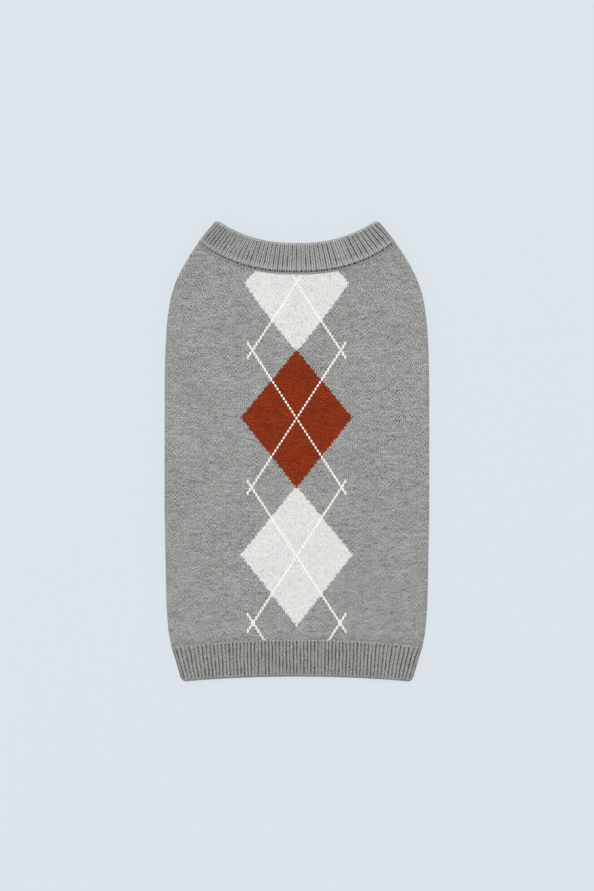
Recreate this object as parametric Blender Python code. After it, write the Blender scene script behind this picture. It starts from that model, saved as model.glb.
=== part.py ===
"""Knitted dog sweater, laid flat with its back up: a tube of fine jersey with a ribbed neckband and hem.

Every cloth piece is a wall. X runs across the sweater, Y from the hem to the neck and Z up from the surface
that it lies on. The back panel covers the top, rolls over both sides and turns under to a seam with the
flat belly panel, which has the two leg holes. All sizes are in metres.
"""

import bpy
import numpy as np

# ---- Driving sizes -------------------------------------------------------------------------------------
SEAM_GAP = 0.0003  # between pieces that are sewn together
LAYER_GAP = 0.0003  # between the belly panel and the back panel lying on it

JERSEY = 0.0016  # thickness of the panels
HEM_CLOTH = 0.0024  # thickness of the single hem rib at its crests
NECK_CLOTH = 0.0028  # thickness of the doubled neckband at its crests
LEG_CLOTH = 0.0020  # thickness of the leg bands

BODY_FOLD = 0.0028  # outer radius of the rolled sides along the body
NECK_FOLD = 0.0034  # the same where the neckband folds
HEM_FOLD = 0.0031  # the same where the hem rib folds
ROLL_FADE = 0.020  # how far in from a side its roll settles to the flat height
SEAM_RISE = 0.030  # how far from a band the jersey starts to rise to it
TURN_UNDER = 0.021  # how far the back panel runs in under the sweater before the side seam

NECK_STEP = 0.0005  # how much the neckband stands above the jersey at its seam
HEM_STEP = 0.0003

NECK_SEAM = {"half": 0.0790, "middle": 0.1431, "corner": 0.1670, "power": 2.45}
NECK_EDGE = {"half": 0.0644, "middle": 0.1664, "corner": 0.18495, "power": 2.30}
BELLY_SCOOP = 0.014  # how much lower the neckline runs on the belly side
BELLY_POWER_DROP = 0.2  # and how much rounder it is
HEM_SEAM = {"half": 0.1004, "middle": -0.1508, "corner": -0.1567, "power": 2.0}
HEM_EDGE = {"half": 0.0922, "middle": -0.1804, "corner": -0.1844, "power": 2.0}

# The body's outline, from the hem seam to the neck seam: height along the sweater, and half its width.
OUTLINE = np.array(
    [
        (-0.1567, 0.1004),
        (-0.1447, 0.1027),
        (-0.1207, 0.1045),
        (-0.0807, 0.1054),
        (-0.0391, 0.1060),
        (0.0089, 0.1060),
        (0.0633, 0.1058),
        (0.0953, 0.1046),
        (0.1193, 0.1017),
        (0.1353, 0.0970),
        (0.1513, 0.0891),
        (0.1670, 0.0790),
    ],
    dtype=[("height", float), ("half", float)],
)

NECK_RIBS = 46  # ribs that show across the neckband
HEM_RIBS = 72  # ribs that show across the hem
RIB_DEPTH = 0.0007  # how deep the grooves between ribs are
# One rib: where each of its points lies across it, and how far the point is sunk, as a share of RIB_DEPTH.
RIB_POINTS = np.array([(0.00, 1.0), (0.30, 0.0), (0.70, 0.0)], dtype=[("across", float), ("sunk", float)])

LEG_HOLE = {"x": 0.0440, "y": 0.0750, "half_width": 0.0300, "half_height": 0.0360}
LEG_BAND = 0.0090  # width of the band round a leg hole
LEG_RISE = 0.0006  # how much the back panel rises over the leg bands
LEG_REACH = 1.6  # how far from a leg hole's middle that rise fades out, as a share of the hole's half size

JERSEY_GREY = (0.32, 0.32, 0.305)
RIB_GREY = (0.25, 0.25, 0.24)

# ---- How finely the shapes are divided -----------------------------------------------------------------
TOP, BOTTOM = np.pi / 2, -np.pi / 2  # the two flat layers, as angles round the rolled side
FOLD_STEPS = 5  # points round a rolled side, between the two layers
LIP_STEPS = 3  # points round a band's free edge
BACK_STATIONS = 35  # points across the back panel's top
STRIP_STATIONS = 3  # points across each strip that it turns under
BELLY_STATIONS = 27  # points across the belly panel
UNDER_STATIONS = 31  # points across a band's lower layer
BODY_ROWS = 17  # points along the body
NECK_CROWDING = 0.10  # how much closer together these lie near the neck, where the outline curves
HOLE_STEPS = 40  # points round a leg hole
SETTLE_ROUNDS = 25  # a point's x and y depend on each other, and are worked out in turn this many times


# ---- Curves and sections -------------------------------------------------------------------------------
def eased(share):
    """0 below 0, 1 above 1, and smooth between."""
    t = np.clip(share, 0.0, 1.0)
    return t * t * (3 - 2 * t)


def half_width(height):
    """Half the body's width at a height: a cubic through OUTLINE's rows that never overshoots them."""
    knots, values = OUTLINE["height"], OUTLINE["half"]
    steps = np.diff(knots)
    slopes = np.diff(values) / steps
    inner = np.where(
        slopes[:-1] * slopes[1:] > 0,
        2 * slopes[:-1] * slopes[1:] / np.where(slopes[:-1] + slopes[1:] == 0, 1, slopes[:-1] + slopes[1:]),
        0.0,
    )
    tangents = np.concatenate([slopes[:1], inner, slopes[-1:]])
    at = np.clip(height, knots[0], knots[-1])
    i = np.clip(np.searchsorted(knots, at) - 1, 0, len(steps) - 1)
    t = (at - knots[i]) / steps[i]
    return (
        values[i] * (2 * t**3 - 3 * t**2 + 1)
        + values[i + 1] * (3 * t**2 - 2 * t**3)
        + tangents[i] * steps[i] * (t**3 - 2 * t**2 + t)
        + tangents[i + 1] * steps[i] * (t**3 - t**2)
    )


def line_height(line, x, layer=TOP, scoop=0.0):
    """Height of a seam or edge at x. It runs from its middle out to its corners by a power of x.
    The belly layer's runs lower in the middle by scoop, and joins the back layer's round the fold."""
    share = np.abs(x) / line["half"]
    back = line["middle"] + (line["corner"] - line["middle"]) * share ** line["power"]
    power = line["power"] - BELLY_POWER_DROP
    belly = line["middle"] - scoop + (line["corner"] - line["middle"] + scoop) * share**power
    on_top = (1 + np.sin(layer)) / 2
    return back * on_top + (belly if scoop else back) * (1 - on_top)


def across(stations, half, radius):
    """X of the outer surface: a station's share of the flat width, then round the rolled side."""
    share, layer = stations["share"], stations["layer"]
    return share * (half - radius) + np.sign(share) * radius * np.cos(layer)


def section(stations, half, radius, flat_height, thickness):
    """Outer and inner (x, z) of the flattened tube: flat on the surface below, round the sides on a circle,
    and on top a roll beside each side that settles to flat_height."""
    share, layer = stations["share"], stations["layer"]
    flat_x = share * (half - radius)
    side = np.sign(share)
    on_top = np.isclose(layer, TOP)
    settled = eased((half - np.abs(flat_x) - radius) / ROLL_FADE)
    drop = np.where(on_top, (2 * radius - flat_height) * settled, 0.0)
    outer = flat_x + side * radius * np.cos(layer), radius + radius * np.sin(layer) - drop
    inside = radius - thickness
    inner = flat_x + side * inside * np.cos(layer), radius + inside * np.sin(layer) - drop
    return outer, inner


def stations_of(pairs):
    """The points round a section, as (share of the flat width, layer angle)."""
    return np.array(list(pairs), dtype=[("share", float), ("layer", float)])


def fold_round(side, upwards):
    """The points round one rolled side, without its two ends."""
    angles = np.linspace(BOTTOM, TOP, FOLD_STEPS + 2)[1:-1]
    return [(side, a) for a in (angles if upwards else angles[::-1])]


# ---- Meshes --------------------------------------------------------------------------------------------
def faces_between(columns, rows, round_closed):
    """Quads between neighbouring columns of points. Each column is a closed loop of rows points."""
    i = np.arange(columns if round_closed else columns - 1)[:, None]
    j = np.arange(rows)[None, :]
    after, above = (i + 1) % columns, (j + 1) % rows
    corners = [i * rows + j, after * rows + j, after * rows + above, i * rows + above]
    return np.stack(np.broadcast_arrays(*corners), -1).reshape(-1, 4)


def end_faces(start, rows, flipped):
    """Quads that close the open end of a wall, between the outer half of its loop and the inner half."""
    quads = []
    for j in range(rows // 2 - 1):
        quad = [start + j, start + j + 1, start + rows - 2 - j, start + rows - 1 - j]
        quads.append(quad[::-1] if flipped else quad)
    return quads


def material(name, colour):
    """Matt wool of one colour."""
    made = bpy.data.materials.new(name)
    made.use_nodes = True
    shader = made.node_tree.nodes["Principled BSDF"]
    shader.inputs["Base Color"].default_value = (*colour, 1.0)
    shader.inputs["Roughness"].default_value = 0.9
    shader.inputs["Metallic"].default_value = 0.0
    return made


def add_wall(name, columns, colour, round_closed, parent):
    """One closed wall from columns of points, each a loop out along one face and back along the other."""
    count, rows, _ = columns.shape
    faces = [list(map(int, quad)) for quad in faces_between(count, rows, round_closed)]
    if not round_closed:
        faces += end_faces(0, rows, flipped=False)
        faces += end_faces((count - 1) * rows, rows, flipped=True)
    mesh = bpy.data.meshes.new(name)
    mesh.from_pydata(columns.reshape(-1, 3).tolist(), [], faces)
    mesh.materials.append(material(name, colour))
    mesh.shade_smooth()
    mesh.set_sharp_from_angle(angle=np.radians(50))
    wall = bpy.data.objects.new(name, mesh)
    wall.parent = parent
    bpy.context.scene.collection.objects.link(wall)
    return wall


# ---- Panels --------------------------------------------------------------------------------------------
def over_leg_bands(x, y):
    """1 over each leg hole and its band, falling to 0 by the time a place is LEG_REACH times as far out."""
    out_x = (np.abs(x) - LEG_HOLE["x"]) / LEG_HOLE["half_width"]
    out_y = (y - LEG_HOLE["y"]) / LEG_HOLE["half_height"]
    return eased((LEG_REACH - np.hypot(out_x, out_y)) / (LEG_REACH - 1))


def body_heights(x, y):
    """Fold radius and height of the back panel's top: lowest on the flat body, rising to each band."""
    to_neck = eased(1 - (line_height(NECK_SEAM, x) - y) / SEAM_RISE)
    to_hem = eased(1 - (y - line_height(HEM_SEAM, x)) / SEAM_RISE)
    flat = 2 * JERSEY + LAYER_GAP + LEG_RISE * over_leg_bands(x, y)
    at_neck = 2 * NECK_CLOTH + LAYER_GAP - NECK_STEP
    at_hem = 2 * HEM_CLOTH + LAYER_GAP - HEM_STEP
    radius = BODY_FOLD + (NECK_FOLD - NECK_STEP / 2 - BODY_FOLD) * to_neck
    radius = radius + (HEM_FOLD - HEM_STEP / 2 - BODY_FOLD) * to_hem
    return radius, flat + (at_neck - flat) * to_neck + (at_hem - flat) * to_hem


def body_height(x, layer, share):
    """Height at a share of the way up the body at x, from the hem seam there to the neck seam there."""
    low = line_height(HEM_SEAM, x, layer)
    return low + (line_height(NECK_SEAM, x, layer, BELLY_SCOOP) - low) * share


def body_columns(stations, along):
    """The panel's wall as columns of points, one for each station, up its outer face and down its inner.
    A point's height depends on its x and its x on the outline there, so the two are settled in turn."""
    v = along[None, :]
    ring = {key: stations[key][:, None] for key in ("share", "layer")}
    x = ring["share"] * half_width(0.0) + 0 * v
    for _ in range(SETTLE_ROUNDS):
        y = body_height(x, ring["layer"], v)
        radius, flat = body_heights(x, y)
        x = across(ring, half_width(y), radius)
    (x_out, z_out), (x_in, z_in) = section(ring, half_width(y), radius, flat, JERSEY)
    outer = np.stack([x_out, y, z_out], -1)
    inner = np.stack([x_in, body_height(x_in, ring["layer"], v), z_in], -1)
    return np.concatenate([outer, inner[:, ::-1]], 1)


def body_rows():
    """Shares along the body, closer together near the neck."""
    even = np.linspace(0.0, 1.0, BODY_ROWS)
    return even + NECK_CROWDING * np.sin(np.pi * even) * even


def seam_share():
    """Where the side seams lie across the belly layer, as a share of its half width."""
    return 1 - (TURN_UNDER - BODY_FOLD) / (half_width(0.0) - BODY_FOLD)


def back_panel(parent):
    """Top layer, both rolled sides and the two strips turned under to the side seams."""
    top = [(share, TOP) for share in np.sin(np.linspace(-np.pi / 2, np.pi / 2, BACK_STATIONS))]
    strip = np.linspace(seam_share(), 1.0, STRIP_STATIONS)
    left = [(-share, BOTTOM) for share in strip] + fold_round(-1, upwards=True)
    right = fold_round(1, upwards=False) + [(share, BOTTOM) for share in strip[::-1]]
    columns = body_columns(stations_of(left + top + right), body_rows())
    return add_wall("back_panel", columns, JERSEY_GREY, False, parent)


def belly_panel(parent):
    """Flat layer between the side seams, with a hole cut for each leg band."""
    reach = seam_share() - SEAM_GAP / half_width(0.0)
    shares = np.linspace(reach, -reach, BELLY_STATIONS)
    columns = body_columns(stations_of((share, BOTTOM) for share in shares), body_rows())
    panel = add_wall("belly_panel", columns, JERSEY_GREY, False, parent)
    for side, word in ((-1, "left"), (1, "right")):
        bpy.ops.mesh.primitive_cylinder_add(vertices=HOLE_STEPS, radius=1.0, depth=4 * JERSEY)
        cutter = bpy.context.object
        cutter.name = f"leg_hole_{word}"
        cutter.location = (side * LEG_HOLE["x"], LEG_HOLE["y"], JERSEY / 2)
        cutter.scale = (LEG_HOLE["half_width"], LEG_HOLE["half_height"], 1.0)
        cutter.parent = parent
        cutter.hide_render = True
        cutter.display_type = "WIRE"
        cut = panel.modifiers.new(f"cut_{word}", "BOOLEAN")
        cut.operation = "DIFFERENCE"
        cut.solver = "EXACT"
        cut.object = cutter
    return panel


# ---- Ribbed bands --------------------------------------------------------------------------------------
def rib_shares(ribs):
    """Where the points of every rib lie across the top layer, from -1 to 1, with a groove at each end."""
    starts = np.arange(ribs)[:, None]
    at = ((starts + RIB_POINTS["across"][None, :]) / ribs).ravel()
    sunk = np.broadcast_to(RIB_POINTS["sunk"], (ribs, len(RIB_POINTS))).ravel()
    return np.append(2 * at - 1, 1.0), np.append(sunk, RIB_POINTS["sunk"][0])


def band_ring(ribs):
    """Stations all round a band, and how far each is sunk: ribs on top, plain round the folds and below."""
    top, sunk = rib_shares(ribs)
    below = np.linspace(1.0, -1.0, UNDER_STATIONS)
    ring = [(share, TOP) for share in top]
    ring += fold_round(1, upwards=False)
    ring += [(share, BOTTOM) for share in below]
    ring += fold_round(-1, upwards=True)
    return stations_of(ring), np.concatenate([sunk, np.zeros(len(ring) - len(sunk))])


def ring_at(stations, line, seam, radius, thickness, scoop):
    """Outer and inner points round a band where it meets its seam or where it ends at its free edge.
    At the seam the band is as wide as the body is there."""
    y = np.full(len(stations), line["corner"])
    for _ in range(SETTLE_ROUNDS):
        half = half_width(y) if line is seam else line["half"]
        (x_out, z_out), (x_in, z_in) = section(stations, half, radius, 2 * thickness + LAYER_GAP, thickness)
        y = line_height(line, x_out, stations["layer"], scoop)
    y_in = line_height(line, x_in, stations["layer"], scoop)
    return np.stack([x_out, y, z_out], -1), np.stack([x_in, y_in, z_in], -1)


def trimmed(start, end, off_start, off_end):
    """Runs between two rows of points, shortened at both ends, and their directions."""
    run = end - start
    along = run / np.linalg.norm(run, axis=1, keepdims=True)
    return start + along * off_start, end - along * off_end, along


def band(name, ribs, seam, edge, radius, thickness, scoop, parent):
    """A ribbed band all round the sweater, its ribs in the outer face on top, with a rounded free edge."""
    stations, sunk = band_ring(ribs)
    out_seam, in_seam = ring_at(stations, seam, seam, radius, thickness, scoop)
    out_edge, in_edge = ring_at(stations, edge, seam, radius, thickness, scoop)
    lip = thickness / 2
    sink = (in_edge - out_edge) / thickness * (RIB_DEPTH * sunk)[:, None]
    outer_start, outer_end, along = trimmed(out_seam, out_edge, SEAM_GAP, lip)
    inner_start, inner_end, _ = trimmed(in_seam, in_edge, SEAM_GAP, lip)
    turns = np.linspace(0.0, np.pi, LIP_STEPS + 2)[1:-1]
    middle, wall = (outer_end + inner_end) / 2, (outer_end - inner_end) / 2
    rim = [middle + wall * np.cos(turn) + along * lip * np.sin(turn) for turn in turns]
    loop = [outer_start + sink, outer_end + sink, *rim, inner_end, inner_start]
    columns = np.stack(loop, 1)
    if edge["middle"] < seam["middle"]:
        columns = columns[::-1]
    return add_wall(name, columns, RIB_GREY, True, parent)


def leg_band(side, word, parent):
    """A flat ring inside one leg hole, with a rounded free edge."""
    turn = np.linspace(0.0, 2 * np.pi, HOLE_STEPS, endpoint=False)
    out = np.array([LEG_HOLE["half_width"], LEG_HOLE["half_height"]]) - SEAM_GAP
    lip = LEG_CLOTH / 2
    bend = np.linspace(-np.pi / 2, np.pi / 2, LIP_STEPS + 2)
    # The section runs in along the bottom, round the free edge and back out along the top.
    inwards = np.concatenate([[0.0], LEG_BAND - lip + lip * np.cos(bend), [0.0]])
    heights = np.concatenate([[0.0], lip + lip * np.sin(bend), [LEG_CLOTH]])
    x = side * LEG_HOLE["x"] + np.cos(turn)[:, None] * (out[0] - inwards)
    y = LEG_HOLE["y"] + np.sin(turn)[:, None] * (out[1] - inwards)
    columns = np.stack([x, y, np.broadcast_to(heights, x.shape)], -1)[:, ::-1]
    return add_wall(f"leg_band_{word}", columns, RIB_GREY, True, parent)


# ---- The sweater ---------------------------------------------------------------------------------------
for leftover in list(bpy.data.objects):
    bpy.data.objects.remove(leftover)

sweater = bpy.data.objects.new("dog_sweater", None)
bpy.context.scene.collection.objects.link(sweater)
back_panel(sweater)
belly_panel(sweater)
band("neckband", NECK_RIBS, NECK_SEAM, NECK_EDGE, NECK_FOLD, NECK_CLOTH, BELLY_SCOOP, sweater)
band("hem_rib", HEM_RIBS, HEM_SEAM, HEM_EDGE, HEM_FOLD, HEM_CLOTH, 0.0, sweater)
leg_band(-1, "left", sweater)
leg_band(1, "right", sweater)
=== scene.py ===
"""Knitted dog sweater, laid flat with its back up: the look of every piece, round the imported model.

The file follows the sweater as it is made up, from the back panel to the leg bands. X runs across the
sweater, Y from hem to neck, Z up from the table, in metres.
"""

import bpy
import numpy as np
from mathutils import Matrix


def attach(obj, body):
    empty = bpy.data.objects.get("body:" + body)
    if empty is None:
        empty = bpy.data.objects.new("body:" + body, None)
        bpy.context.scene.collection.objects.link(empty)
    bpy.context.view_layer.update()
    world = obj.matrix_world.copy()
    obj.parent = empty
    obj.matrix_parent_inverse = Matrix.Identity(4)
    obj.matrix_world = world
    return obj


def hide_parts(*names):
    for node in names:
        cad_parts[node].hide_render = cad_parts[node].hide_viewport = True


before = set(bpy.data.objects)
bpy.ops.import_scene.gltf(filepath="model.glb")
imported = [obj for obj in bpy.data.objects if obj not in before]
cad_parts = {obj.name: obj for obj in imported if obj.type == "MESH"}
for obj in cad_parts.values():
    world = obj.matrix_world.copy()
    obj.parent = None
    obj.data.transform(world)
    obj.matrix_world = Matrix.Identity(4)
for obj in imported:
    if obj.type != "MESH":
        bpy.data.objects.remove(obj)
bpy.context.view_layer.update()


# ---- Back panel --------------------------------
# One fully fashioned panel of fine marl jersey, with the argyle column knitted in and thin lines over it.
# It covers the whole top, lies on the belly layer with a few soft waves, rolls over both sides and runs in
# underneath to the side seams.
WALE, COURSE = 0.001696, 0.0012994  # width of a column of stitches, and height of a row
ARGYLE_MIDDLE = 0.02636  # height of the rust diamond's middle row
ARGYLE_OFF_CENTRE = 0.00030  # how far left of the middle it lies
JERSEY, NECK_CLOTH, HEM_CLOTH = 0.0016, 0.0028, 0.0024  # thickness of the jersey and of the two ribs
LAYER_GAP = 0.0003  # between the two layers
BODY_FOLD, NECK_FOLD, HEM_FOLD = 0.0028, 0.0034, 0.0031  # outer radius of the rolled sides
ROLL_FADE = 0.020  # how far in from a roll the top settles
SEAM_RISE = 0.030  # how far from a rib the jersey starts to rise to it
NECK_STEP, HEM_STEP = 0.0005, 0.0003  # how much lower than each rib the jersey ends
TURN_UNDER = 0.021  # how far in from each side the panel runs underneath
# A seam or edge: half its width, its height in the middle and at the corners, and the power of its curve.
NECK_SEAM = {"half": 0.0790, "middle": 0.1431, "corner": 0.1670, "power": 2.45}
HEM_SEAM = {"half": 0.1004, "middle": -0.1508, "corner": -0.1567, "power": 2.0}
BELLY_SCOOP = 0.014  # how much lower the belly layer's neckline is cut
BELLY_POWER_DROP = 0.2  # and by how much less its curve's power is
# The body's outline: heights, and half the width at each.
OUTLINE = (
    (-0.1567, -0.1447, -0.1207, -0.0807, -0.0391, 0.0089, 0.0633, 0.0953, 0.1193, 0.1353, 0.1513, 0.1670),
    (0.1004, 0.1027, 0.1045, 0.1054, 0.1060, 0.1060, 0.1058, 0.1046, 0.1017, 0.0970, 0.0891, 0.0790),
)
LEG_HOLE = {"x": 0.0440, "y": 0.0750, "half_width": 0.0300, "half_height": 0.0360}
LEG_RISE, LEG_REACH = 0.0006, 1.6  # rise over the leg bands, and out to how many times a hole's size
TOP, BOTTOM = np.pi / 2, -np.pi / 2  # the two flat layers, as angles round a rolled side
SETTLE_ROUNDS = 25  # x and y depend on each other and are worked out in turn

FLAT_REACH = 0.1032  # from the middle to where the cloth rolls over
ROLL_LENGTH = np.pi * BODY_FOLD
EVEN_REACH = 0.046  # stitches out to here are evenly wide, and the rest take up the outline
NECK_DRAW, DRAW_FADE = 0.135, 0.019  # how much the neck seam draws them in, and how fast that fades
WALE_RIDGE = 0.00024  # depth of the groove between two columns
PANEL_EDGE = 0.0009  # radius of the panels' edges at their seams
HEM_SEAM_EDGE = 0.0001  # and where the hem rib is knitted on
SHADE_ABOVE_HEM = {"shade": 0.20, "above": 0.0020, "width": 0.0011}  # painted shade on the last courses before the rib, where they would dip
BACK_ROWS = 193
BACK_INNER_EVERY = 16  # the inside needs only every so many of them
WALE_POINTS = 3  # points across a column
INSIDE_SHADE = 0.6  # mark of the inside, which little light reaches
SHARP = 1.3  # edges that turn by more than this stay sharp
# Soft waves in the laid cloth: middle, half length, half width, turn in degrees, and height in millimetres.
WAVES = (
    (-0.062, 0.142, 0.034, 0.010, -24, -0.45),
    (0.062, 0.142, 0.034, 0.010, 24, -0.55),
    (-0.078, -0.126, 0.030, 0.013, 18, -0.35),
    (0.074, -0.122, 0.034, 0.011, -14, -0.30),
    (-0.070, -0.060, 0.045, 0.010, 9, -0.22),
    (-0.052, -0.086, 0.040, 0.009, 6, 0.28),
    (0.070, -0.022, 0.046, 0.011, -8, -0.25),
    (0.064, 0.024, 0.050, 0.012, 5, 0.25),
    (-0.066, 0.030, 0.048, 0.011, -6, 0.24),
    (-0.076, 0.074, 0.036, 0.012, 14, -0.22),
    (0.080, 0.086, 0.034, 0.012, -18, 0.20),
    (0.010, -0.132, 0.050, 0.010, 3, 0.20),
)
MILLIMETRE = 0.001
WAVE_FADE = 0.006  # the waves die out this close to a seam
INSIDE_FADE = 1 / 8  # and inside, over this share of its length

JERSEY_LIGHT = (0.312, 0.310, 0.296)
RUST = (0.232, 0.0262, 0.0028)
MARL_WHITE = (0.763, 0.755, 0.728)
LINE_WHITE = (0.970, 0.928, 0.855)
LINE_ON_RUST = (0.985, 0.890, 0.770)  # where the rust shines through the thin yarn


def eased(share):
    """0 below 0, 1 above 1, and smooth between."""
    t = np.clip(share, 0.0, 1.0)
    return t * t * (3 - 2 * t)


def half_width(height):
    """Half the body's width at a height: a cubic through OUTLINE, whose slope at each point is the harmonic
    mean of the slopes on either side, so that it never overshoots."""
    knots, values = np.array(OUTLINE)
    steps = np.diff(knots)
    slopes = np.diff(values) / steps
    inner = 2 * slopes[:-1] * slopes[1:] / (slopes[:-1] + slopes[1:])
    tangents = np.concatenate([slopes[:1], inner, slopes[-1:]])
    at = np.clip(height, knots[0], knots[-1])
    i = np.clip(np.searchsorted(knots, at) - 1, 0, len(steps) - 1)
    t = (at - knots[i]) / steps[i]
    return (
        values[i] * (2 * t**3 - 3 * t**2 + 1)
        + values[i + 1] * (3 * t**2 - 2 * t**3)
        + tangents[i] * steps[i] * (t**3 - 2 * t**2 + t)
        + tangents[i + 1] * steps[i] * (t**3 - t**2)
    )


def line_height(line, x, layer=TOP, scoop=0.0):
    """Height of a seam or edge at x: from its middle to its corners by a power of x. The belly layer's runs
    lower in the middle by scoop, and joins the back layer's round the fold."""
    share = np.abs(x) / line["half"]
    back = line["middle"] + (line["corner"] - line["middle"]) * share ** line["power"]
    power = line["power"] - BELLY_POWER_DROP
    belly = line["middle"] - scoop + (line["corner"] - line["middle"] + scoop) * share**power
    on_top = (1 + np.sin(layer)) / 2
    return back * on_top + (belly if scoop else back) * (1 - on_top)


def way_out(x, y):
    """How far out a place lies from the middle of the leg hole on its side. The hole's edge is at 1."""
    off_x = (np.abs(x) - LEG_HOLE["x"]) / LEG_HOLE["half_width"]
    return np.hypot(off_x, (y - LEG_HOLE["y"]) / LEG_HOLE["half_height"])


def body_heights(x, y):
    """Fold radius and height of the back panel's top: lowest on the flat body, rising to each band."""
    to_neck = eased(1 - (line_height(NECK_SEAM, x) - y) / SEAM_RISE)
    to_hem = eased(1 - (y - line_height(HEM_SEAM, x)) / SEAM_RISE)
    over_leg_bands = eased((LEG_REACH - way_out(x, y)) / (LEG_REACH - 1))
    flat = 2 * JERSEY + LAYER_GAP + LEG_RISE * over_leg_bands
    at_neck = 2 * NECK_CLOTH + LAYER_GAP - NECK_STEP
    at_hem = 2 * HEM_CLOTH + LAYER_GAP - HEM_STEP
    radius = BODY_FOLD + (NECK_FOLD - NECK_STEP / 2 - BODY_FOLD) * to_neck
    radius = radius + (HEM_FOLD - HEM_STEP / 2 - BODY_FOLD) * to_hem
    return radius, flat + (at_neck - flat) * to_neck + (at_hem - flat) * to_hem


def way_up(x, layer, share):
    """Height at a share of the way up the body at x, from the hem seam there to the neck seam there."""
    low = line_height(HEM_SEAM, x, layer)
    return low + (line_height(NECK_SEAM, x, layer, BELLY_SCOOP) - low) * share


def seam_share():
    """Where the side seams lie across the belly layer, as a share of its half width."""
    return 1 - (TURN_UNDER - BODY_FOLD) / (half_width(0.0) - BODY_FOLD)


def waves(x, y):
    """Height of the soft waves: along and across each, one less the square of the way out, squared."""
    total = 0 * x
    for middle_x, middle_y, long, wide, degrees, height in WAVES:
        turn = np.radians(degrees)
        off_x, off_y = x - middle_x, y - middle_y
        along = (off_x * np.cos(turn) + off_y * np.sin(turn)) / long
        across = (off_y * np.cos(turn) - off_x * np.sin(turn)) / wide
        inside = np.clip(1 - along**2, 0, 1) ** 2 * np.clip(1 - (across / 2) ** 2, 0, 1) ** 2
        total = total + height * MILLIMETRE * inside
    return total


def tube_face(flat_x, side, layer, half, radius, flat_height, deep):
    """X and z on the flattened tube, deep in from its outer face: flat below, round each side on a circle,
    and on top a roll beside each side that settles to flat_height."""
    settled = eased((half - np.abs(flat_x) - radius) / ROLL_FADE)
    drop = np.where(layer > 0, (2 * radius - flat_height) * settled, 0.0)
    round_x = (radius - deep) * np.cos(layer)
    return flat_x + side * round_x, radius + (radius - deep) * np.sin(layer) - drop


def edge_drop(distance, radius):
    """How deep a rounded edge lies at a distance in from it: a quarter circle of the radius."""
    reach = np.clip(1 - distance / radius, 0, 1)
    return radius * (1 - np.sqrt(1 - reach**2))


def back_surface(cloth, share, deep):
    """The back panel, from the distance across its cloth and the share of the way up from hem to neck.
    The cloth lies flat to FLAT_REACH, rolls over half a circle, and runs in underneath as a flat strip."""
    side = np.sign(cloth)
    rolled = (np.abs(cloth) - FLAT_REACH) / ROLL_LENGTH
    layer = TOP - np.pi * np.clip(rolled, 0, 1)
    tucked = np.clip((rolled - 1) * ROLL_LENGTH / (TURN_UNDER - BODY_FOLD), 0, 1)
    x = np.clip(cloth, -FLAT_REACH, FLAT_REACH) + 0 * share
    for _ in range(SETTLE_ROUNDS):
        y = way_up(x, layer, share)
        radius, flat = body_heights(x, y)
        reach = half_width(y) - radius
        drawn = 1 - NECK_DRAW * np.exp((y - line_height(NECK_SEAM, x)) / DRAW_FADE)
        even = drawn * np.clip(np.abs(cloth), 0, EVEN_REACH)
        beyond = np.clip((np.abs(cloth) - EVEN_REACH) / (FLAT_REACH - EVEN_REACH), 0, 1)
        flat_x = side * (even + beyond * (reach - drawn * EVEN_REACH))
        flat_x = flat_x * (1 - tucked * (1 - seam_share()))
        x, z = tube_face(flat_x, side, layer, reach + radius, radius, flat, deep)
    return x, way_up(x, layer, share), z, layer


def wall_mesh(name, points, u, v, sunk, material, outer=0):
    """A closed wall from columns of points, each a loop up its outer face and back down its inner one.
    Quads join neighbouring columns. u and v are the UVs, with one more column where it closes on itself.
    Otherwise its two ends are closed, and outer is how many points the outer face has."""
    columns, rows = points.shape[:2]
    i = np.arange(len(u) - 1)[:, None]
    j = np.arange(rows)[None, :]
    corner_i = np.stack(np.broadcast_arrays(i, i + 1, i + 1, i), -1) + 0 * j[..., None]
    corner_j = np.stack(np.broadcast_arrays(j, j, j + 1, j + 1), -1) % rows + 0 * i[..., None]
    groups = [(corner_i % columns * rows + corner_j).reshape(-1, 4)]
    uvs = np.stack([u[corner_i, corner_j], v[corner_i, corner_j]], -1).reshape(-1, 2)
    if outer:
        groups.append(end_cap(0, rows, outer, False))
        groups.append(end_cap((columns - 1) * rows, rows, outer, True))
    padding = sum(group.size for group in groups) - len(uvs)
    uvs = np.concatenate([uvs, np.zeros((padding, 2))])
    return add_mesh(name, points.reshape(-1, 3), groups, material, uvs, sunk)


def end_cap(start, rows, outer, flipped):
    """Triangles that close a wall's end, between its many outer points and its fewer inner ones."""
    every = (outer - 1) // (rows - outer - 1)
    step, back = np.arange(outer - 1), np.arange(rows - outer - 1)
    fan = np.stack([step + 1, step, rows - 1 - (step + every // 2) // every], -1)
    fill = np.stack([rows - 1 - back, rows - 2 - back, back * every + every // 2], -1)
    caps = start + np.concatenate([fan, fill])
    return caps if flipped else caps[:, ::-1]


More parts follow.
